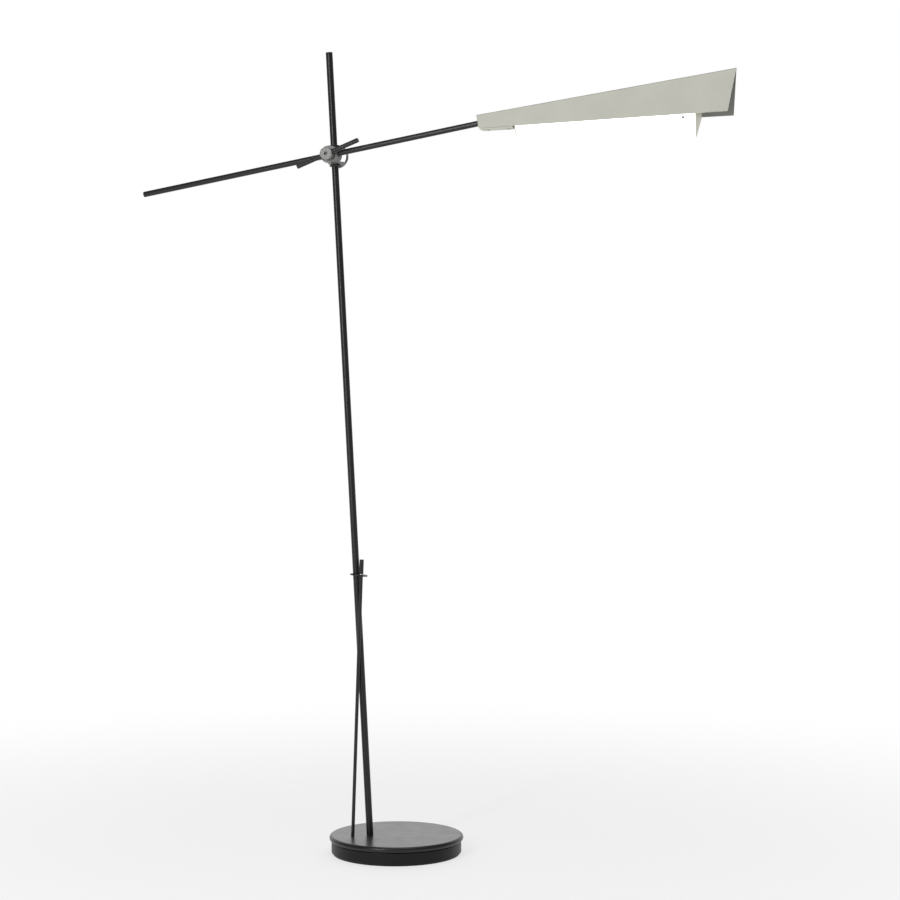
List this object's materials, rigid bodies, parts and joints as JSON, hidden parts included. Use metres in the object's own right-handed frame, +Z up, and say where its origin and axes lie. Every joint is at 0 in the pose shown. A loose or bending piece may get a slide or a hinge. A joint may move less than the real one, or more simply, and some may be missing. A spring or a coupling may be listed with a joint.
{
  "type": "adjustable arm floor lamp",
  "caption": "Floor lamp: round base, leaning pole with a brace rod, and a clamp holding a sliding, tilting arm with a folded V-shaped shade over a lit diffuser.",
  "frame": {"origin": "centre of the round base, on the floor", "axes": "+Z up, +X from the pole's side of the base towards the head, -Y the front, which the clamp's knob faces"},
  "size_m": [1.0212, 0.3802, 1.4075],
  "materials": {
    "black_paint": "satin black powder coat with a fine texture",
    "cast_iron": "machined and painted satin black",
    "felt": "pressed wool felt",
    "black_plastic": "moulded, matt",
    "dark_steel": "blackened",
    "bright_steel": "zinc plated",
    "turned_steel": "turned, with fine concentric tool marks",
    "aluminium": "extruded, satin",
    "shade_paint": "fine matt powder coat, pale greenish grey",
    "opal_diffuser": "opal acrylic, lit from inside",
    "pale_plastic": "moulded, satin",
    "led_board": "white solder mask"
  },
  "bodies": {
    "base": {"base_plate": "black_paint", "base_drum": "cast_iron", "base_felt": "felt", "driver_unit": "black_plastic", "cord_gland": "black_plastic", "base_screw_1": "dark_steel", "base_screw_2": "dark_steel", "base_screw_3": "dark_steel", "pole": "black_paint", "pole_cap": "black_plastic", "pole_washer": "bright_steel", "pole_nut": "bright_steel", "brace_rod": "black_paint", "brace_washer": "bright_steel", "brace_nut": "bright_steel", "tie_disc": "black_paint", "tie_washer": "bright_steel", "brace_sleeve": "black_paint"},
    "bushes": {"upper_bush": "black_plastic", "lower_bush": "black_plastic"},
    "clamp": {"clamp_cage": "turned_steel", "swivel_ring_left": "turned_steel", "swivel_ring_right": "turned_steel", "ring_screw_1": "dark_steel", "ring_screw_2": "dark_steel", "ring_screw_3": "dark_steel", "ring_screw_4": "dark_steel"},
    "collar": {"arm_collar": "turned_steel", "pressure_pad": "black_plastic"},
    "liner": {"arm_liner": "black_plastic"},
    "arm": {"arm_tube": "black_paint", "arm_end_cap": "black_plastic", "head_spigot": "bright_steel", "head_block": "aluminium", "head_grub_screw": "dark_steel", "shade": "shade_paint", "neck_plate": "shade_paint", "neck_screw_1": "shade_paint", "neck_screw_2": "shade_paint", "led_carrier": "aluminium", "led_board": "led_board", "diffuser": "opal_diffuser", "diffuser_end_inner": "pale_plastic", "diffuser_end_outer": "pale_plastic", "switch_body": "black_plastic"},
    "washer": {"thrust_washer": "bright_steel"},
    "knob": {"clamp_knob": "turned_steel", "tommy_bar": "black_paint", "knob_grub_screw": "dark_steel"},
    "button": {"switch_button": "pale_plastic"}
  },
  "joints": [
    {"name": "clamp_height", "type": "slide", "parent": "base", "child": "bushes", "axis": [-0.0515, 0, 0.9987], "range_m": [-0.45, 0.14]},
    {"name": "clamp_swivel", "type": "hinge", "parent": "bushes", "child": "clamp", "pos_m": [-0.10798, -0.004, 1.22622], "axis": [-0.0515, 0, 0.9987], "continuous": true},
    {"name": "arm_pitch", "type": "hinge", "parent": "clamp", "child": "collar", "pos_m": [-0.10798, -0.004, 1.22622], "axis": [-0.3003, -0.9537, -0.0155], "range_deg": [-50, 50]},
    {"name": "arm_roll", "type": "hinge", "parent": "collar", "child": "liner", "pos_m": [-0.1136, -0.02184, 1.22593], "axis": [0.9412, -0.2989, 0.1577], "range_deg": [-90, 90]},
    {"name": "arm_slide", "type": "slide", "parent": "liner", "child": "arm", "axis": [0.9412, -0.2989, 0.1577], "range_m": [-0.18, 0.25]},
    {"name": "knob_advance", "type": "slide", "parent": "collar", "child": "washer", "axis": [-0.3003, -0.9537, -0.0155], "range_m": [0, 0.00125]},
    {"name": "knob_turn", "type": "hinge", "parent": "washer", "child": "knob", "pos_m": [-0.10798, -0.004, 1.22622], "axis": [-0.3003, -0.9537, -0.0155], "range_deg": [0, 360]},
    {"name": "button_press", "type": "slide", "parent": "arm", "child": "button", "axis": [0.2293, 0.7638, 0.6033], "range_m": [0, 0.0014], "stiffness_N_per_m": 400}
  ],
  "couplings": [
    {"joint": "knob_advance", "follows": "knob_turn", "m_per_rad": 0.00019894}
  ]
}
